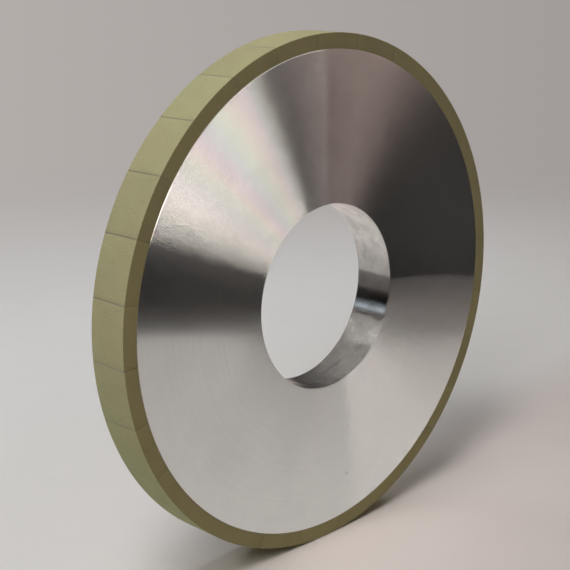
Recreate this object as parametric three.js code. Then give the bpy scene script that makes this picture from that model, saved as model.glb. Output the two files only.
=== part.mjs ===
// A segmented diamond grinding wheel of the plain straight type: an aluminium core, a ring of
// vitrified-bond diamond segments round its rim, and the cured adhesive that holds them.
// Millimetres, +Z up. The wheel stands on its rim about its own centre, with its bore along Y:
// the front face looks towards -Y and the back face towards +Y.
import * as THREE from "three";

// Driving dimensions
const wheelDiameter = 350;
const wheelWidth = 30;
const boreDiameter = 127;
const abrasiveDepth = 10; // from the grinding surface in to the adhesive
const segmentCount = 28;
const adhesiveThickness = 0.3; // between the core's rim and the segments
const jointWidth = 0.5; // adhesive between neighbouring segments, measured at the grinding surface
const firstJointTurn = 3.8; // degrees from straight up to the nearest joint, towards -X
const boreChamfer = 0.7;
const rimChamfer = 0.7; // on the core's outer edges, where the adhesive meets each face

// How finely the round surfaces are cut into flats
const arcDivisions = 3; // three.js cuts an arc into twice this many flats
const flatsPerPitch = 2 * arcDivisions;

// Sizes that follow from the driving dimensions
const wheelRadius = wheelDiameter / 2;
const segmentInnerRadius = wheelRadius - abrasiveDepth;
const coreRadius = segmentInnerRadius - adhesiveThickness;
const boreRadius = boreDiameter / 2;
const pitchAngle = (2 * Math.PI) / segmentCount;
const halfJointAngle = jointWidth / 2 / wheelRadius;
const firstJointAngle = Math.PI / 2 + THREE.MathUtils.degToRad(firstJointTurn);

// The middle of a joint, as an angle from +X towards +Z.
function jointAngle(index) {
  return firstJointAngle + index * pitchAngle;
}

// Where a segment begins and ends, leaving half a joint free at each side.
function segmentAngles(index) {
  return {
    start: jointAngle(index) + halfJointAngle,
    end: jointAngle(index + 1) - halfJointAngle,
  };
}

// A shape drawn in the wheel's plane, given the wheel's width, as a mesh across the wheel. The shape's
// own axes are X and Z of the wheel.
function acrossWheel(name, shape, material) {
  const geometry = new THREE.ExtrudeGeometry(shape, {
    depth: wheelWidth,
    curveSegments: arcDivisions,
    bevelEnabled: false,
  });
  geometry.translate(0, 0, -wheelWidth / 2);
  const mesh = new THREE.Mesh(geometry, material);
  mesh.name = name;
  mesh.rotation.x = Math.PI / 2;
  return mesh;
}

// Turned disc with a plain bore. Its flats line up with the adhesive's inner ones.
function makeCore() {
  const halfWidth = wheelWidth / 2;
  const profile = [
    new THREE.Vector2(boreRadius, -halfWidth + boreChamfer),
    new THREE.Vector2(boreRadius + boreChamfer, -halfWidth),
    new THREE.Vector2(coreRadius - rimChamfer, -halfWidth),
    new THREE.Vector2(coreRadius, -halfWidth + rimChamfer),
    new THREE.Vector2(coreRadius, halfWidth - rimChamfer),
    new THREE.Vector2(coreRadius - rimChamfer, halfWidth),
    new THREE.Vector2(boreRadius + boreChamfer, halfWidth),
    new THREE.Vector2(boreRadius, halfWidth - boreChamfer),
  ];
  profile.push(profile[0].clone());
  const turns = segmentCount * flatsPerPitch;
  // A lathe counts its angle from +Z towards +X.
  const geometry = new THREE.LatheGeometry(profile, turns, Math.PI / 2 - jointAngle(0));
  const material = new THREE.MeshStandardMaterial({ color: 0xb6b3ae, roughness: 0.35, metalness: 1 });
  const core = new THREE.Mesh(geometry, material);
  core.name = "aluminium_core";
  return core;
}

// The cured adhesive: a thin ring on the core's rim with a fin standing in every joint.
function makeAdhesive() {
  const outline = new THREE.Shape();
  const rimOfCore = new THREE.Path();
  for (let index = 0; index < segmentCount; index++) {
    const { start, end } = segmentAngles(index);
    const nextStart = segmentAngles(index + 1).start;
    outline.absarc(0, 0, segmentInnerRadius, start, end, false);
    outline.lineTo(wheelRadius * Math.cos(end), wheelRadius * Math.sin(end));
    outline.lineTo(wheelRadius * Math.cos(nextStart), wheelRadius * Math.sin(nextStart));
    rimOfCore.absarc(0, 0, coreRadius, jointAngle(index), jointAngle(index + 1), false);
  }
  outline.closePath();
  rimOfCore.closePath();
  outline.holes.push(rimOfCore);
  const material = new THREE.MeshStandardMaterial({ color: 0x6d6560, roughness: 0.7, metalness: 0 });
  return acrossWheel("adhesive_bond", outline, material);
}

// One block of diamond grit in a vitrified bond, curved to the wheel and square to its faces.
function makeSegment(index) {
  const { start, end } = segmentAngles(index);
  const block = new THREE.Shape();
  block.absarc(0, 0, wheelRadius, start, end, false);
  block.absarc(0, 0, segmentInnerRadius, end, start, true);
  block.closePath();
  const material = new THREE.MeshStandardMaterial({ color: 0x8e8a66, roughness: 0.9, metalness: 0 });
  const number = String(index + 1).padStart(2, "0");
  return acrossWheel(`diamond_segment_${number}`, block, material);
}

function makeWheel() {
  const wheel = new THREE.Group();
  const rim = new THREE.Group();
  for (let index = 0; index < segmentCount; index++) {
    rim.add(makeSegment(index));
  }
  wheel.add(makeCore(), makeAdhesive(), rim);
  return wheel;
}

export default makeWheel();
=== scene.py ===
import math

import bpy
import numpy as np
from mathutils import Euler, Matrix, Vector


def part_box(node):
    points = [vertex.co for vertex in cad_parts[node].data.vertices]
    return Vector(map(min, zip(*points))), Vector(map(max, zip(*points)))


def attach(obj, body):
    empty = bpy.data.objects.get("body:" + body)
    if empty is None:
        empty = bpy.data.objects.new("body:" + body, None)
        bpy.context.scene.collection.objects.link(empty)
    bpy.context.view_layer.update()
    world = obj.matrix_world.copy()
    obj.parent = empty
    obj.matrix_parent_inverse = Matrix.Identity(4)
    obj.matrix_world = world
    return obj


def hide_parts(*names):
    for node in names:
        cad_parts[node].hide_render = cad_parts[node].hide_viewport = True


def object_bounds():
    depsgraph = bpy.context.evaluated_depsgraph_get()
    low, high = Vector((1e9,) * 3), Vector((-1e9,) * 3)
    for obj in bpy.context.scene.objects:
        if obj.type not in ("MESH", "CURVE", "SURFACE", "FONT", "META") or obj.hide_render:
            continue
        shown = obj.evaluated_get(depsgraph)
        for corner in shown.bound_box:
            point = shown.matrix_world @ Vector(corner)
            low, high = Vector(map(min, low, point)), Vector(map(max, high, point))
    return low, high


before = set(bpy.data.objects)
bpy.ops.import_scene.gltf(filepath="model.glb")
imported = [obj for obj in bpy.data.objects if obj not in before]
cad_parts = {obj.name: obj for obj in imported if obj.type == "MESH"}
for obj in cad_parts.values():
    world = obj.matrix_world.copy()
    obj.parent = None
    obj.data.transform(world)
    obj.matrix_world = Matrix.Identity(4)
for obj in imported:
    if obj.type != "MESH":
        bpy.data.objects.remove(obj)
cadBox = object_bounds()
millimetre = 0.001


# Every vertex of a node: its distance from the bore's axis, its angle from +X towards +Z, and its place
# along the bore.
def polarOf(node):
    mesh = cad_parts[node].data
    places = np.empty(len(mesh.vertices) * 3)
    mesh.vertices.foreach_get("co", places)
    x, y, z = places.reshape(-1, 3).T
    return np.hypot(x, z), np.arctan2(z, x), y


# The angles at which a node that covers part of a turn starts and ends: its mean direction, plus the
# smallest and the largest angle that a vertex makes with that direction.
def arcOf(node):
    angles = polarOf(node)[1]
    middle = np.angle(np.exp(1j * angles).mean())
    spread = np.angle(np.exp(1j * (angles - middle)))
    return middle + spread.min(), middle + spread.max()


segmentNodes = sorted(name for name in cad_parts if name.startswith("diamond_segment"))
segmentCount = len(segmentNodes)
segmentArcs = [arcOf(name) for name in segmentNodes]
pitch = 2 * math.pi / segmentCount
jointAngle = segmentArcs[1][0] - segmentArcs[0][1]
firstJoint = segmentArcs[0][0] - jointAngle / 2
coreRadii = polarOf("aluminium_core")[0]
segmentRadii = polarOf(segmentNodes[0])[0]
low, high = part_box("aluminium_core")
wheel = {
    "boreRadius": coreRadii.min(),
    "coreRadius": coreRadii.max(),
    "innerRadius": segmentRadii.min(),
    "outerRadius": segmentRadii.max(),
    "front": low.y,
    "back": high.y,
    "floor": cadBox[0].z,
}
print("wheel sizes read from the frame:", {name: round(float(size), 5) for name, size in wheel.items()})


cameraSettings = {
    "place": (-0.598, -0.566, 0.223),
    "turn": (75.2, 0.0, -45.25),  # degrees
    "lens": 79.0,
    "sensor": 36.0,
    "clipStart": 0.01,
    "clipEnd": 100.0,
}


def makeCamera(settings):
    data = bpy.data.cameras.new("studioCamera")
    data.lens = settings["lens"]
    data.sensor_width = settings["sensor"]
    data.clip_start = settings["clipStart"]
    data.clip_end = settings["clipEnd"]
    camera = bpy.data.objects.new("studioCamera", data)
    camera.location = settings["place"]
    camera.rotation_euler = Euler([math.radians(turn) for turn in settings["turn"]])
    bpy.context.scene.collection.objects.link(camera)
    bpy.context.scene.camera = camera


makeCamera(cameraSettings)
bpy.context.scene.view_settings.view_transform = "Standard"
print("camera placed")


# A grid of points as vertices, and as faces one quad between every two neighbouring rows and columns,
# wrapped round where asked. Two poles close the first and the last row with a fan of triangles each.
def gridMesh(points, wrapRows=False, wrapColumns=True, poles=None):
    rows, columns = points.shape[:2]
    index = np.arange(rows * columns).reshape(rows, columns)
    ahead = np.vstack([index, index[:1]]) if wrapRows else index
    ahead = np.hstack([ahead, ahead[:, :1]]) if wrapColumns else ahead
    quads = np.stack([ahead[:-1, :-1], ahead[:-1, 1:], ahead[1:, 1:], ahead[1:, :-1]], -1)
    faces = quads.reshape(-1, 4).tolist()
    vertices = points.reshape(-1, 3)
    if poles is not None:
        first, last = len(vertices), len(vertices) + 1
        vertices = np.vstack([vertices, poles])
        ring = np.append(index[0], index[0, 0])
        faces += np.stack([np.full(columns, first), ring[1:], ring[:-1]], -1).tolist()
        ring = np.append(index[-1], index[-1, 0])
        faces += np.stack([np.full(columns, last), ring[:-1], ring[1:]], -1).tolist()
    return vertices, faces


def makePiece(name, vertices, faces, material):
    mesh = bpy.data.meshes.new(name)
    mesh.from_pydata(vertices.tolist(), [], faces)
    mesh.polygons.foreach_set("use_smooth", np.full(len(mesh.polygons), True))
    mesh.materials.append(material)
    mesh.update()
    piece = bpy.data.objects.new(name, mesh)
    bpy.context.scene.collection.objects.link(piece)
    return piece


# A closed outline with rounded corners. A corner is an arc about the centre that lies one rounding inside
# both of its sides: centre + rounding * direction, as the direction turns from one side's normal to the
# other's. A side is a straight run of points from a margin after one arc to a margin before the next.
def roundedOutline(corners, rounding, arcSteps, sideSteps, margin):
    corners = np.asarray(corners, float)
    ahead = np.roll(corners, -1, 0) - corners
    ahead /= np.linalg.norm(ahead, axis=1, keepdims=True)
    behind = np.roll(ahead, 1, 0)
    turn = np.arccos(np.clip((ahead * behind).sum(1), -1, 1))
    cut = rounding * np.tan(turn / 2)
    points = []
    for here in range(len(corners)):
        after = (here + 1) % len(corners)
        inward = ahead[here] - behind[here]
        inward /= np.linalg.norm(inward)
        along = ahead[here] + behind[here]
        along /= np.linalg.norm(along)
        centre = corners[here] + inward * rounding / math.cos(turn[here] / 2)
        share = np.linspace(-0.5, 0.5, arcSteps)[:, None] * turn[here]
        points.append(centre + rounding * (np.sin(share) * along - np.cos(share) * inward))
        start = corners[here] + ahead[here] * cut[here]
        length = np.linalg.norm(corners[after] - ahead[here] * cut[after] - start)
        near = min(margin, length / 4)
        places = np.linspace(near, length - near, sideSteps[here] + 1)[:, None]
        points.append(start + ahead[here] * places)
    return np.vstack(points)


# An outline in radius and y carried once round the wheel's axis: x = radius cos a, z = radius sin a.
def carriedRound(outline, turns):
    angle = np.linspace(0, 2 * math.pi, turns, endpoint=False)[None, :]
    radius, across = outline[:, :1], outline[:, 1:]
    flat = np.broadcast_to(across, (len(outline), turns))
    return np.stack([radius * np.cos(angle), flat, radius * np.sin(angle)], -1)


# A block bent round the axis: a rounded rectangle in radius and y, carried along the arc from start to
# end. At each end the rectangle draws in by edge * (1 - sin q) while it moves on by edge * (1 - cos q),
# q running over a quarter turn, so that the end faces have rounded edges too. A pole closes each end.
def arcBlock(inner, outer, front, back, start, end, settings):
    edge, edgeSteps = settings["edge"], settings["edgeSteps"]
    smallestRounding = edge * 0.02  # keeps the corners of an end face apart
    middle = (inner + outer) / 2
    quarter = np.linspace(0, math.pi / 2, edgeSteps)
    inset = edge * (1 - np.sin(quarter))
    ahead = edge * (1 - np.cos(quarter)) / middle
    body = np.linspace(start + ahead[-1], end - ahead[-1], settings["arcSteps"] + 1)[1:-1]
    turn = np.concatenate([start + ahead, body, (end - ahead)[::-1]])[:, None]
    insets = np.concatenate([inset, np.zeros(len(body)), inset[::-1]])
    sideSteps = (settings["widthSteps"], settings["depthSteps"]) * 2
    rows = []
    for shrink in insets:
        near, far = inner + shrink, outer - shrink
        corners = [
            (near, front + shrink), (near, back - shrink),
            (far, back - shrink), (far, front + shrink),
        ]
        rounding = max(edge - shrink, smallestRounding)
        rows.append(roundedOutline(corners, rounding, edgeSteps, sideSteps, edge))
    section = np.stack(rows)
    radius, across = section[..., 0], section[..., 1]
    points = np.stack([radius * np.cos(turn), across, radius * np.sin(turn)], -1)
    ends = np.array([start, end])
    poles = np.stack([middle * np.cos(ends), np.full(2, (front + back) / 2), middle * np.sin(ends)], -1)
    return points, poles


# One socket of a node tree, or only the tree. Operators on numbers add Math nodes and operators on
# vectors add Vector Math nodes. Every other kind of node comes from node().
class Wire:
    def __init__(self, tree, socket=None):
        self.tree = tree
        self.socket = socket

    # Adds a node: its settings first, then the values or links of its sockets. Returns one output.
    def node(self, kind, settings=None, sockets=None, output=0):
        added = self.tree.nodes.new(kind)
        for name, value in (settings or {}).items():
            setattr(added, name, value)
        for name, value in (sockets or {}).items():
            socket = added.inputs[name]
            if isinstance(value, Wire):
                self.tree.links.new(value.socket, socket)
            elif socket.type == "RGBA":
                socket.default_value = (*value, 1.0)
            else:
                socket.default_value = value
        return Wire(self.tree, added.outputs[output] if added.outputs else None)

    def isVector(self):
        return self.socket.type == "VECTOR"

    def both(self, operation, first, second):
        wires = [value for value in (first, second) if isinstance(value, Wire)]
        kind = "ShaderNodeVectorMath" if any(wire.isVector() for wire in wires) else "ShaderNodeMath"
        return self.node(kind, {"operation": operation}, {0: first, 1: second})

    def __add__(self, other):
        return self.both("ADD", self, other)

    __radd__ = __add__

    def __sub__(self, other):
        return self.both("SUBTRACT", self, other)

    def __rsub__(self, other):
        return self.both("SUBTRACT", other, self)

    # A vector is scaled by a number, and a number is multiplied.
    def __mul__(self, other):
        if self.isVector():
            return self.node("ShaderNodeVectorMath", {"operation": "SCALE"}, {"Vector": self, "Scale": other})
        return self.both("MULTIPLY", self, other)

    __rmul__ = __mul__

    def __truediv__(self, other):
        return self.both("DIVIDE", self, other)

    def __rtruediv__(self, other):
        return self.both("DIVIDE", other, self)

    def __neg__(self):
        return self.both("MULTIPLY", self, -1.0)

    def __abs__(self):
        return self.math("ABSOLUTE")

    def math(self, operation, other=0.0):
        return self.node("ShaderNodeMath", {"operation": operation}, {0: self, 1: other})

    def vector(self, operation, other=(0.0, 0.0, 0.0), output=0):
        return self.node("ShaderNodeVectorMath", {"operation": operation}, {0: self, 1: other}, output)

    def dot(self, direction):
        return self.vector("DOT_PRODUCT", tuple(direction), "Value")

    def parts(self):
        return [self.node("ShaderNodeSeparateXYZ", None, {0: self}, output) for output in range(3)]

    # Runs from toLow to toHigh while this number runs from low to high, and holds beyond.
    def ramp(self, low, high, toLow=0.0, toHigh=1.0, shape="SMOOTHSTEP"):
        sockets = {"Value": self, "From Min": low, "From Max": high, "To Min": toLow, "To Max": toHigh}
        return self.node("ShaderNodeMapRange", {"interpolation_type": shape}, sockets)

    # Noise in space where this is a place, and along a line where this is a number.
    def noise(self, scale, detail=4.0, roughness=0.55):
        dimensions, name = ("3D", "Vector") if self.isVector() else ("1D", "W")
        sockets = {name: self, "Scale": scale, "Detail": detail, "Roughness": roughness}
        return self.node("ShaderNodeTexNoise", {"noise_dimensions": dimensions}, sockets)

    # This number as a grey colour.
    def grey(self):
        return self.node("ShaderNodeCombineColor", None, {0: self, 1: self, 2: self})

    # The colour that lies between two by this number.
    def between(self, first, second):
        return self.node("ShaderNodeMix", {"data_type": "RGBA"}, {0: self, 6: first, 7: second}, 2)

    # This colour times another.
    def tinted(self, other):
        settings = {"data_type": "RGBA", "blend_type": "MULTIPLY"}
        return self.node("ShaderNodeMix", settings, {0: 1.0, 6: other, 7: self}, 2)


# An empty material, the start of its tree, and its Object coordinates.
def newMaterial(name):
    material = bpy.data.materials.new(name)
    material.use_nodes = True
    material.node_tree.nodes.clear()
    start = Wire(material.node_tree)
    return material, start, start.node("ShaderNodeTexCoord", None, None, "Object")


def finishMaterial(start, shader):
    start.node("ShaderNodeOutputMaterial", None, {"Surface": shader})


aluminium = {
    "colour": (0.915, 0.905, 0.895),
    "roughness": 0.07,
    "groovePitch": 0.08 * millimetre,
    "outwardTilt": 0.344,  # how widely a groove's two flanks lean, outwards and inwards
    "inwardTilt": 0.107,
    "outwardShare": 0.39,  # how much of a groove is its outward flank
    "fullLean": 0.99,  # how far over its range of leans a flank runs
    "wave": 0.024,  # slow change of lean from ring to ring
    "waveScale": 900.0,
    "wideRings": 0.07,  # depth of tone of the wide and of the fine rings
    "wideRingScale": 420.0,
    "fineRings": 0.11,
    "fineRingScale": 1700.0,
    "ringDetail": (4.0, 0.75),
    "ringRoughness": 0.06,  # added where a ring was cut more roughly
    "ringRoughRange": (0.5, 0.68),
    "brokenScale": 26.0,  # patches in which the fine rings are fainter
    "brokenRange": (0.35, 0.65, 0.35, 1.0),
    "stain": 0.06,
    "stainScale": 18.0,
    "stainRange": (0.35, 0.75),
    "boreSmudge": 0.2,
    "smudgeRoughness": 0.06,
    "smudgeScale": 70.0,
    "smudgeRange": (0.42, 0.72),
    "nickPlace": (0.02, -0.134),  # x and z of a small dent on the front
    "nickCentre": 0.36 * millimetre,  # radius of its evenly dark middle
    "nickSize": 0.9 * millimetre,
    "nickTone": 0.5,
}


# Turned metal. A ring lies where radius + y is the same, so the faces, the bore and the rim all have rings.
# In each groove the surface leans outwards on one flank and inwards on the other, by its tilt times
# q / sqrt(1 - q * q) with q running evenly over the flank, so that highlights spread along the radius
# and stay narrow round the wheel.
def turnedAluminium(settings):
    material, start, place = newMaterial("turnedAluminium")
    x, y, z = place.parts()
    radius = (x * x + z * z).math("SQRT")
    path = radius + y
    flat = place.vector("MULTIPLY", (1.0, 0.0, 1.0))
    around = flat.vector("CROSS_PRODUCT", (0.0, 1.0, 0.0)).vector("NORMALIZE")
    normal = start.node("ShaderNodeNewGeometry", None, None, "Normal")
    across = around.vector("CROSS_PRODUCT", normal)

    phase = (path / settings["groovePitch"]).math("FRACT")
    inwardShare = 1 - settings["outwardShare"]
    outward = phase.ramp(inwardShare, 1.0, 0.0, settings["fullLean"], "LINEAR")
    inward = phase.ramp(0.0, inwardShare, settings["fullLean"], 0.0, "LINEAR")
    tilt = outward / (1 - outward * outward).math("SQRT") * settings["outwardTilt"]
    tilt = tilt - inward / (1 - inward * inward).math("SQRT") * settings["inwardTilt"]
    tilt = tilt + (path.noise(settings["waveScale"], 3.0, 0.7) - 0.5) * settings["wave"]
    bent = (normal + across * tilt).vector("NORMALIZE")

    wideRing = path.noise(settings["wideRingScale"], *settings["ringDetail"])
    fineRing = path.noise(settings["fineRingScale"], *settings["ringDetail"])
    broken = place.noise(settings["brokenScale"], 3.0, 0.6).ramp(*settings["brokenRange"])
    stain = place.noise(settings["stainScale"], 5.0, 0.6).ramp(*settings["stainRange"])
    inBore = radius.ramp(wheel["boreRadius"], wheel["boreRadius"] + millimetre, 1.0, 0.0)
    smudge = place.noise(settings["smudgeScale"], 5.0, 0.65).ramp(*settings["smudgeRange"]) * inBore
    nickX, nickZ = settings["nickPlace"]
    toNick = place.vector("DISTANCE", (nickX, wheel["front"], nickZ), "Value")
    nick = toNick.ramp(settings["nickCentre"], settings["nickSize"], settings["nickTone"], 0.0)
    tone = 1 - stain * settings["stain"] - (wideRing - 0.5) * settings["wideRings"]
    tone = tone - (fineRing - 0.5) * broken * settings["fineRings"]
    tone = (tone - smudge * settings["boreSmudge"]) * (1 - nick)
    rough = (wideRing * 0.5 + fineRing * 0.5).ramp(*settings["ringRoughRange"])
    rough = rough * broken * settings["ringRoughness"]
    shader = start.node("ShaderNodeBsdfPrincipled", None, {
        "Base Color": tone.grey().tinted(settings["colour"]),
        "Metallic": 1.0,
        "Roughness": settings["roughness"] + rough + smudge * settings["smudgeRoughness"],
        "Normal": bent,
    })
    finishMaterial(start, shader)
    return material


abrasive = {
    "colour": (0.41, 0.38, 0.21),
    "greener": (0.39, 0.405, 0.21),  # what some stretches of the grinding surface lean to, and the painted tint of the light on the lower half
    "driftLean": 0.35,  # how far it leans there
    "driftScale": 9.0,
    "driftRange": (0.4, 0.62),
    "paintedLowTint": 0.8,  # how far it leans on the lower half: a painted tint of the light there
    "lowRange": (-0.03, 0.12),  # metres below the axis
    "sideToneAndShade": (0.255, 0.218, 0.093),  # the ground sides: browner than the grinding surface, and darker with painted shade where less light falls on them
    "sideStart": 14.75 * millimetre,  # from the middle of the width
    "sideBlend": 0.2 * millimetre,
    "darkest": 0.965,  # tone of the darkest segment, and how much lighter one may be
    "segmentTone": 0.07,
    "mottle": 0.26,
    "mottleScale": 60.0,
    "grain": 0.22,
    "grainScale": 1100.0,
    "speckScale": 2600.0,
    "pore": 0.3,
    "poreScale": 620.0,
    "poreRange": (0.16, 0.3),
    "poreAreaScale": 240.0,  # pores come in patches
    "poreAreaRange": (0.45, 0.62),
    "poreDepth": 0.8,
    "roughness": 0.82,
    "specular": 0.3,
    "bump": 0.45,
    "bumpScale": 1700.0,
    "bumpDepth": 0.25 * millimetre,
}


# Which segment a point belongs to: its angle from the first joint counted in segments, rounded down.
def segmentNumber(place):
    x, y, z = place.parts()
    turned = (z.math("ARCTAN2", x) - firstJoint) / pitch + segmentCount
    return turned.math("MODULO", segmentCount).math("FLOOR")


# Pressed diamond layer. Its tone is a chance per segment, slow mottling and two sizes of grain added
# together, less the pores. Pores are dark spots round the centres of some cells of a cell pattern.
def diamondAbrasive(settings):
    material, start, place = newMaterial("diamondAbrasive")
    x, y, z = place.parts()
    number = segmentNumber(place)
    chance = start.node("ShaderNodeTexWhiteNoise", {"noise_dimensions": "1D"}, {"W": number})
    cellSockets = {"Vector": place, "Scale": settings["poreScale"]}
    cells = start.node("ShaderNodeTexVoronoi", {"feature": "F1"}, cellSockets)
    areas = place.noise(settings["poreAreaScale"], 2.0).ramp(*settings["poreAreaRange"])
    pores = cells.ramp(*settings["poreRange"], 1.0, 0.0) * areas
    tone = settings["darkest"] + chance * settings["segmentTone"]
    tone = tone + (place.noise(settings["mottleScale"], 5.0, 0.62) - 0.5) * settings["mottle"]
    tone = tone + (place.noise(settings["grainScale"], 3.0, 0.75) - 0.5) * settings["grain"]
    tone = tone + (place.noise(settings["speckScale"], 2.0, 0.7) - 0.5) * settings["grain"]
    tone = tone - pores * settings["pore"]
    drift = place.noise(settings["driftScale"], 3.0, 0.6).ramp(*settings["driftRange"])
    # Greener below the axis: a painted tint of the light on the lower half of the wheel.
    lowness = (-z).ramp(*settings["lowRange"])
    leaning = (drift * settings["driftLean"] + lowness * settings["paintedLowTint"]).math("MINIMUM", 1.0)
    # The sides take a darker, browner colour: their own browner tone, with painted shade.
    side = abs(y).ramp(settings["sideStart"], settings["sideStart"] + settings["sideBlend"])
    colour = side.between(leaning.between(settings["colour"], settings["greener"]), settings["sideToneAndShade"])
    height = place.noise(settings["bumpScale"], 3.0, 0.65) - pores * settings["poreDepth"]
    bump = start.node("ShaderNodeBump", None, {
        "Strength": settings["bump"],
        "Distance": settings["bumpDepth"],
        "Height": height,
    })
    shader = start.node("ShaderNodeBsdfPrincipled", None, {
        "Base Color": tone.grey().tinted(colour),
        "Roughness": settings["roughness"],
        "Specular IOR Level": settings["specular"],
        "Normal": bump,
    })
    finishMaterial(start, shader)
    return material


bond = {
    "colour": (0.31, 0.28, 0.22),
    # the sides: the segments' browner side tone, with their painted shade
    "sideToneAndShade": (0.22, 0.18, 0.085),
    "sideStart": 14.3 * millimetre,
    "sideBlend": 0.4 * millimetre,
    "mottle": 0.3,
    "mottleScale": 300.0,
    "roughness": 0.6,
}


# Hardened glue: greyish in the joints of the grinding surface, and on the sides close to the segments' side
# colour, with the same painted shade.
def curedAdhesive(settings):
    material, start, place = newMaterial("curedAdhesive")
    x, y, z = place.parts()
    side = abs(y).ramp(settings["sideStart"], settings["sideStart"] + settings["sideBlend"])
    tone = 1 + (place.noise(settings["mottleScale"], 4.0, 0.6) - 0.5) * settings["mottle"]
    shader = start.node("ShaderNodeBsdfPrincipled", None, {
        "Base Color": tone.grey().tinted(side.between(settings["colour"], settings["sideToneAndShade"])),
        "Roughness": settings["roughness"],
    })
    finishMaterial(start, shader)
    return material


metal = turnedAluminium(aluminium)
grit = diamondAbrasive(abrasive)
glue = curedAdhesive(bond)
print("finishes made")


core = {
    "turns": 448,  # columns round the wheel
    "chamfer": 0.22 * millimetre,
    "edge": 0.08 * millimetre,  # rounding at both edges of a chamfer
    "margin": 0.25 * millimetre,  # from a rounding to the first point of a face
    "edgeSteps": 4,
    "wallSteps": 6,  # along the bore and the rim
    "faceSteps": 10,
}


# The core's outline, a rectangle in radius and y with four cut corners, carried round the axis.
def makeCore(settings):
    chamfer, front, back = settings["chamfer"], wheel["front"], wheel["back"]
    bore, rim = wheel["boreRadius"], wheel["coreRadius"]
    corners = [
        (bore, front + chamfer), (bore, back - chamfer),
        (bore + chamfer, back), (rim - chamfer, back),
        (rim, back - chamfer), (rim, front + chamfer),
        (rim - chamfer, front), (bore + chamfer, front),
    ]
    sideSteps = (settings["wallSteps"], 1, settings["faceSteps"], 1) * 2
    outline = roundedOutline(corners, settings["edge"], settings["edgeSteps"], sideSteps, settings["margin"])
    vertices, faces = gridMesh(carriedRound(outline, settings["turns"]), wrapRows=True)
    piece = makePiece("turned_core", vertices, faces, metal)
    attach(piece, "root")
    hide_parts("aluminium_core")


makeCore(core)
print("core made")


segments = {
    "edge": 0.35 * millimetre,
    "edgeSteps": 4,
    "arcSteps": 14,
    "widthSteps": 12,  # along the bore's direction
    "depthSteps": 4,  # along the radius
}


# One bent block for every segment of the frame, between that segment's own angles.
def makeSegments(settings):
    for node, (start, end) in zip(segmentNodes, segmentArcs):
        points, poles = arcBlock(
            wheel["innerRadius"], wheel["outerRadius"], wheel["front"], wheel["back"],
            start, end, settings,
        )
        vertices, faces = gridMesh(points, poles=poles)
        piece = makePiece(node.replace("diamond_segment", "abrasive_block"), vertices, faces, grit)
        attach(piece, "root")
        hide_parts(node)


makeSegments(segments)
print("segments made:", segmentCount)


adhesive = {
    "recess": 0.04 * millimetre,  # below the wheel's faces and the grinding surface
    "edge": 0.05 * millimetre,
    "turns": 336,
    "ringSteps": 4,
    "edgeSteps": 3,
    "arcSteps": 2,
    "widthSteps": 3,
    "depthSteps": 4,
}


# A ring between the core and the segments, a rounded rectangle carried round the axis, and one bent
# block in every joint, which reaches a little way into the ring.
def makeAdhesive(settings):
    recess, edge = settings["recess"], settings["edge"]
    front, back = wheel["front"] + recess, wheel["back"] - recess
    corners = [
        (wheel["coreRadius"], front), (wheel["coreRadius"], back),
        (wheel["innerRadius"], back), (wheel["innerRadius"], front),
    ]
    sideSteps = (settings["ringSteps"], 1) * 2
    outline = roundedOutline(corners, edge, settings["edgeSteps"], sideSteps, edge)
    vertices, faces = gridMesh(carriedRound(outline, settings["turns"]), wrapRows=True)
    for number in range(segmentCount):
        joint = firstJoint + number * pitch
        points, poles = arcBlock(
            wheel["innerRadius"] - edge, wheel["outerRadius"] - recess, front, back,
            joint - jointAngle / 2, joint + jointAngle / 2, settings,
        )
        finVertices, finFaces = gridMesh(points, poles=poles)
        faces += [[index + len(vertices) for index in face] for face in finFaces]
        vertices = np.vstack([vertices, finVertices])
    piece = makePiece("cured_bond", vertices, faces, glue)
    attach(piece, "root")
    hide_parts("adhesive_bond")


makeAdhesive(adhesive)
print("adhesive made")


# The direction with this azimuth, in degrees from -Y towards +X, and this elevation.
def towards(azimuth, elevation):
    azimuth, elevation = math.radians(azimuth), math.radians(elevation)
    return Vector((
        math.sin(azimuth) * math.cos(elevation),
        -math.cos(azimuth) * math.cos(elevation),
        math.sin(elevation),
    ))


sheetSteps = 21


# A flat sheet: centre + u * length * forward + v * width * side, u and v on an even grid from -0.5 to
# 0.5, where forward is +X turned by an angle about +Z. The centre is given along forward and side.
def makeSheet(name, centre, turn, size, height, material):
    turn = math.radians(turn)
    forward = np.array([math.cos(turn), math.sin(turn)])
    side = np.array([-forward[1], forward[0]])
    share = np.linspace(-0.5, 0.5, sheetSteps)
    u, v = np.meshgrid(share, share, indexing="ij")
    middle = centre[0] * forward + centre[1] * side
    flat = middle + u[..., None] * forward * size[0] + v[..., None] * side * size[1]
    points = np.dstack([flat, np.full(u.shape, height)])
    vertices, faces = gridMesh(points, wrapColumns=False)
    sheet = makePiece(name, vertices, [face[::-1] for face in faces], material)
    return sheet


floor = {
    "size": 12.0,
    "colour": (0.8, 0.775, 0.75),
    "frontShadeColour": (0.7, 0.63, 0.595),  # darker and warmer in front of the wheel: painted shade
    # paler further behind the wheel: painted light
    "farLightColour": (0.89, 0.875, 0.865),
    "frontSlant": 0.1,  # slope of the line where the painted shade in front gives way
    "frontBlend": (-0.015, 0.07),
    "farBlend": (0.1, 0.55),
    "fadeStart": 0.55,  # metres from the axis, where the floor begins to run out into the backdrop
    "fadeEnd": 1.75,
    "mottle": 0.03,
    "mottleScale": 30.0,
    "roughness": 0.9,
    "specular": 0.2,
}
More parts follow.
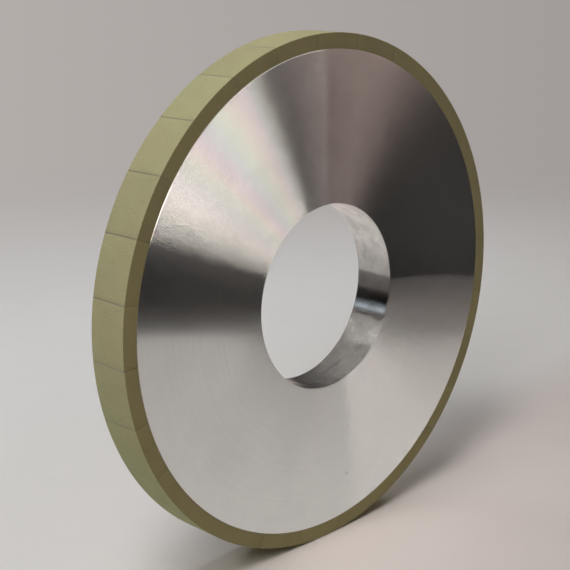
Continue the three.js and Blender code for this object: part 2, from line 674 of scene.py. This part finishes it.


# Matt paper in three slowly changing tones: its own tone, painted shade in front of the wheel and painted
# light further behind it. It thins out round the wheel until only the backdrop shows.
def floorPaper(settings):
    material, start, place = newMaterial("floorPaper")
    x, y, z = place.parts()
    pastFront = (y - x * settings["frontSlant"]).ramp(*settings["frontBlend"])
    near = pastFront.between(settings["frontShadeColour"], settings["colour"])
    whole = y.ramp(*settings["farBlend"]).between(near, settings["farLightColour"])
    tone = 1 + (place.noise(settings["mottleScale"], 3.0, 0.5) - 0.5) * settings["mottle"]
    paper = start.node("ShaderNodeBsdfPrincipled", None, {
        "Base Color": tone.grey().tinted(whole),
        "Roughness": settings["roughness"],
        "Specular IOR Level": settings["specular"],
    })
    away = place.vector("MULTIPLY", (1.0, 1.0, 0.0)).vector("LENGTH", output="Value")
    faded = away.ramp(settings["fadeStart"], settings["fadeEnd"])
    clear = start.node("ShaderNodeBsdfTransparent")
    finishMaterial(start, start.node("ShaderNodeMixShader", None, {0: faded, 1: paper, 2: clear}))
    return material


studioFloor = makeSheet(
    "studio_floor", (0.0, 0.0), 0.0, (floor["size"], floor["size"]), wheel["floor"], floorPaper(floor),
)
# Reflections show the glowing sheet in place of the floor.
studioFloor.visible_glossy = False
print("floor made")


# A glowing shader of one colour, which may change from place to place.
def glowing(start, colour):
    return start.node("ShaderNodeBsdfPrincipled", None, {
        "Base Color": (0.0, 0.0, 0.0),
        "Roughness": 1.0,
        "Specular IOR Level": 0.0,
        "Emission Color": colour,
        "Emission Strength": 1.0,
    })


# Runs from 0 outside an edge to 1 inside it, as (1 + tanh(distance inside / soft)) / 2.
def softEdge(inside, soft):
    return 0.5 + 0.5 * (inside / soft).math("TANH")


# Leaves a piece to reflections only.
def onlyReflected(piece):
    piece.visible_camera = False
    piece.visible_diffuse = False
    piece.visible_shadow = False


# A glowing sheet that only the metal reflects, in place of the lit floor paper: a painted reflection, its
# glow painted light. It ends along one straight edge in front of the wheel.
reflectedSheet = {
    "turn": 40.0,  # degrees from +X, of the edge
    "edge": 0.505,  # metres from the wheel's axis to the edge
    "soft": 0.015,
    "glow": 0.38,
    "glowAlong": 0.4,  # growth of the glow per metre along the edge, and away from it
    "glowInward": 0.55,
    "alongReach": 1.0,  # metres along the edge, and away from it, where the growth ends
    "inwardReach": 0.5,
    "colourLeft": (1.05, 1.0, 0.94),
    "colourRight": (1.13, 1.0, 0.93),
    "colourBlend": 0.5,
    "backStart": (0.55, 0.85),  # metres from the edge, where the painted glow dims behind the wheel
    "backTone": 0.6,
    "backTurn": -130.0,  # azimuth in which the paper ends behind the wheel, in degrees
    "backEdge": 0.48,
    "backBlend": 0.03,
    "pastEdge": 0.3,  # what is left of the glow beyond that edge
    "length": 8.0,
    "width": 5.0,
    "lift": 0.1 * millimetre,  # above the floor
}


# The painted glow grows as exp(metres along the edge * glowAlong + metres from the edge * glowInward).
def sheetGlow(settings):
    material, start, place = newMaterial("sheetGlow")
    x, y, z = place.parts()
    turn = math.radians(settings["turn"])
    along = x * math.cos(turn) + y * math.sin(turn)
    inward = settings["edge"] - (x * math.sin(turn) - y * math.cos(turn))
    growth = along.math("MINIMUM", settings["alongReach"]) * settings["glowAlong"]
    growth = growth + inward.math("MINIMUM", settings["inwardReach"]) * settings["glowInward"]
    glow = growth.math("EXPONENT") * settings["glow"] * softEdge(inward, settings["soft"])
    glow = glow * inward.ramp(*settings["backStart"], 1.0, settings["backTone"])
    back = towards(settings["backTurn"], 0.0)
    backEnd = settings["backEdge"] + settings["backBlend"]
    behind = x * back.x + y * back.y
    glow = glow * behind.ramp(settings["backEdge"], backEnd, 1.0, settings["pastEdge"])
    blend = along.ramp(0.0, settings["colourBlend"])
    tint = blend.between(settings["colourLeft"], settings["colourRight"])
    finishMaterial(start, glowing(start, glow.grey().tinted(tint)))
    return material


onlyReflected(makeSheet(
    "reflected_sheet",
    (0.0, reflectedSheet["width"] / 2 - reflectedSheet["edge"]),
    reflectedSheet["turn"],
    (reflectedSheet["length"], reflectedSheet["width"]),
    wheel["floor"] + reflectedSheet["lift"],
    sheetGlow(reflectedSheet),
))
print("reflected sheet made")


# Soft-edged cards that only the metal reflects. Angles in degrees; wide and high are half sizes.
cards = {
    "frontCard": {
        "azimuth": 26.0, "elevation": 6.5, "wide": 10.0, "high": 8.5,
        "roll": 15.0, "soft": 1.5, "glow": 4.3, "colour": (1.08, 1.0, 0.92),
        "streakTurn": 30.0,
    },
    "leftCard": {
        "azimuth": -24.0, "elevation": 22.0, "wide": 13.5, "high": 9.0,
        "roll": -13.0, "soft": 1.0, "glow": 6.4, "colour": (1.1, 1.0, 0.91),
        "streakTurn": 60.0,
    },
    "rightCard": {
        "azimuth": 60.0, "elevation": 18.0, "wide": 18.0, "high": 7.0,
        "roll": 7.0, "soft": 7.0, "glow": 1.2, "colour": (1.28, 1.0, 0.9),
    },
    "highCard": {
        "azimuth": 5.0, "elevation": 70.0, "wide": 42.0, "high": 13.0,
        "roll": 0.0, "soft": 1.0, "glow": 2.6, "colour": (1.05, 1.0, 0.96),
    },
    "sideCard": {
        "azimuth": -58.0, "elevation": 44.0, "wide": 11.0, "high": 16.0,
        "roll": 4.0, "soft": 2.0, "glow": 4.6, "colour": (1.04, 1.0, 0.96),
    },
    "lowCard": {
        "azimuth": 36.0, "elevation": -9.0, "wide": 9.0, "high": 1.0,
        "roll": -25.0, "soft": 1.5, "glow": 0.8, "colour": (1.05, 1.0, 0.95),
    },
    "cornerCard": {
        "azimuth": 24.0, "elevation": 2.0, "wide": 4.5, "high": 2.0,
        "roll": -55.0, "soft": 0.5, "glow": 0.4, "colour": (1.05, 1.0, 0.95),
    },
    "boreCard": {
        "azimuth": -125.0, "elevation": 15.0, "wide": 26.0, "high": 2.0,
        "roll": 0.0, "soft": 1.0, "glow": 0.8, "colour": (0.84, 0.95, 1.04),
    },
    "backCard": {
        "azimuth": 180.0, "elevation": 60.0, "wide": 48.0, "high": 14.0,
        "roll": 0.0, "soft": 2.5, "glow": 0.3, "colour": (1.0, 0.94, 0.86),
    },
}
cardDistance = 2.5
cardSteps = 3
cardRim = 3  # soft widths of card that are left outside the glow
streak = {
    "period": 0.32,  # metres over the card from one red streak to the next
    "warp": 0.35,
    "warpScale": 1.6,
    "hue": 0.09,
    "hueShifts": (0.0, 2.1, 4.2),  # phase of red, green and blue
    "patchScale": 0.9,  # patches in which the hues are stronger
    "patchRange": (0.35, 0.65, 0.3, 1.0),
    "contrast": 0.42,
    "contrastScale": 5.0,
}


# Streaks run over the card across one direction, bent by slow noise. Each is a little brighter or dimmer
# than the next, and red, green and blue each add a sine of their own phase.
def streaks(place, direction, settings):
    across = place.dot(direction) + place.noise(settings["warpScale"], 2.0, 0.5) * settings["warp"]
    phase = across * (2 * math.pi / settings["period"])
    hue = place.noise(settings["patchScale"], 2.0, 0.5).ramp(*settings["patchRange"]) * settings["hue"]
    level = 1 + (across.noise(settings["contrastScale"], 3.0, 0.6) - 0.5) * settings["contrast"]
    red, green, blue = (level + (phase + shift).math("SINE") * hue for shift in settings["hueShifts"])
    return place.node("ShaderNodeCombineColor", None, {0: red, 1: green, 2: blue})


# The glow of a card is added to what lies behind it, so cards that overlap don't hide each other.
def cardGlow(name, axes, halves, soft, settings):
    material, start, place = newMaterial(name)
    colour = settings["colour"]
    if "streakTurn" in settings:
        turn = math.radians(settings["streakTurn"])
        direction = math.cos(turn) * axes[0] + math.sin(turn) * axes[1]
        colour = streaks(place, direction, streak).tinted(colour)
    level = settings["glow"]
    for axis, half in zip(axes, halves):
        level = softEdge(half - abs(place.dot(axis)), soft) * level
    glow = glowing(start, level.grey().tinted(colour))
    clear = start.node("ShaderNodeBsdfTransparent")
    finishMaterial(start, start.node("ShaderNodeAddShader", None, {0: glow, 1: clear}))
    return material


# A card facing the wheel: distance * outward + u * width * across + v * height * upright, with u and v
# from -1 to 1. The last two directions lie in the card and are turned by its roll.
def makeCard(name, settings):
    outward = np.array(towards(settings["azimuth"], settings["elevation"]))
    turn, roll = math.radians(settings["azimuth"]), math.radians(settings["roll"])
    right = np.array([math.cos(turn), math.sin(turn), 0.0])
    up = np.cross(right, outward)
    up = up if up[2] > 0 else -up
    across = math.cos(roll) * right + math.sin(roll) * up
    upright = math.cos(roll) * up - math.sin(roll) * right
    halves = [cardDistance * math.tan(math.radians(settings[side])) for side in ("wide", "high")]
    soft = cardDistance * math.radians(settings["soft"])
    width, height = (half + cardRim * soft for half in halves)
    share = np.linspace(-1, 1, cardSteps)
    u, v = np.meshgrid(share, share, indexing="ij")
    points = cardDistance * outward + u[..., None] * width * across + v[..., None] * height * upright
    vertices, faces = gridMesh(points, wrapColumns=False)
    card = makePiece(name, vertices, faces, cardGlow(name, (across, upright), halves, soft, settings))
    onlyReflected(card)


for name, settings in cards.items():
    makeCard(name, settings)
print("cards made:", len(cards))


backdrop = {
    "left": (0.46, 0.425, 0.41),
    "right": (0.36, 0.33, 0.32),
    "across": (0.71, -0.704, 0.0),  # the direction in which it darkens
    "reach": 0.25,
}


# The backdrop is a pale air that only the camera sees. It darkens evenly from one side to the other: painted
# shade.
def makeWorld(settings):
    world = bpy.data.worlds.new("studioAir")
    world.use_nodes = True
    world.node_tree.nodes.clear()
    start = Wire(world.node_tree)
    direction = start.node("ShaderNodeTexCoord", None, None, "Generated")
    reach = settings["reach"]
    sideways = direction.dot(settings["across"]).ramp(-reach, reach, shape="LINEAR")
    colour = sideways.between(settings["left"], settings["right"])
    air = start.node("ShaderNodeBackground", None, {"Color": colour})
    start.node("ShaderNodeOutputWorld", None, {"Surface": air})
    world.cycles_visibility.glossy = False
    world.cycles_visibility.diffuse = False
    bpy.context.scene.world = world


makeWorld(backdrop)
print("backdrop made")


# Soft square lamps, all of one size and distance, that reflections don't show. Angles in degrees. The
# glow is the radiance of the lamp's face.
lamps = {
    "keyLamp": {"azimuth": -68.0, "elevation": 57.0, "glow": 7.5},
    "keyLampUpper": {"azimuth": -60.0, "elevation": 60.0, "glow": 5.5},
    "keyLampMiddle": {"azimuth": -65.0, "elevation": 50.0, "glow": 3.5},
    "keyLampLower": {"azimuth": -65.0, "elevation": 35.0, "glow": 9.0},
    "topLamp": {"azimuth": 0.0, "elevation": 89.9, "glow": 6.5},
    "sideLamp": {"azimuth": 95.0, "elevation": 40.0, "glow": 4.5},
    "backLamp": {"azimuth": 170.0, "elevation": 40.0, "glow": 5.0},
    "backLampHigh": {"azimuth": 180.0, "elevation": 60.0, "glow": 1.2},
    "leftBackLamp": {"azimuth": -160.0, "elevation": 40.0, "glow": 1.5},
}
lampDistance = 2.2
lampSize = 0.6


def makeLamp(name, settings):
    toLamp = towards(settings["azimuth"], settings["elevation"])
    data = bpy.data.lights.new(name, "AREA")
    data.shape = "SQUARE"
    data.size = lampSize
    data.energy = settings["glow"] * lampSize * lampSize * math.pi
    lamp = bpy.data.objects.new(name, data)
    lamp.location = toLamp * lampDistance
    lamp.rotation_euler = toLamp.to_track_quat("Z", "Y").to_euler()
    lamp.visible_glossy = False
    bpy.context.scene.collection.objects.link(lamp)


for name, settings in lamps.items():
    makeLamp(name, settings)
print("lamps made:", len(lamps))
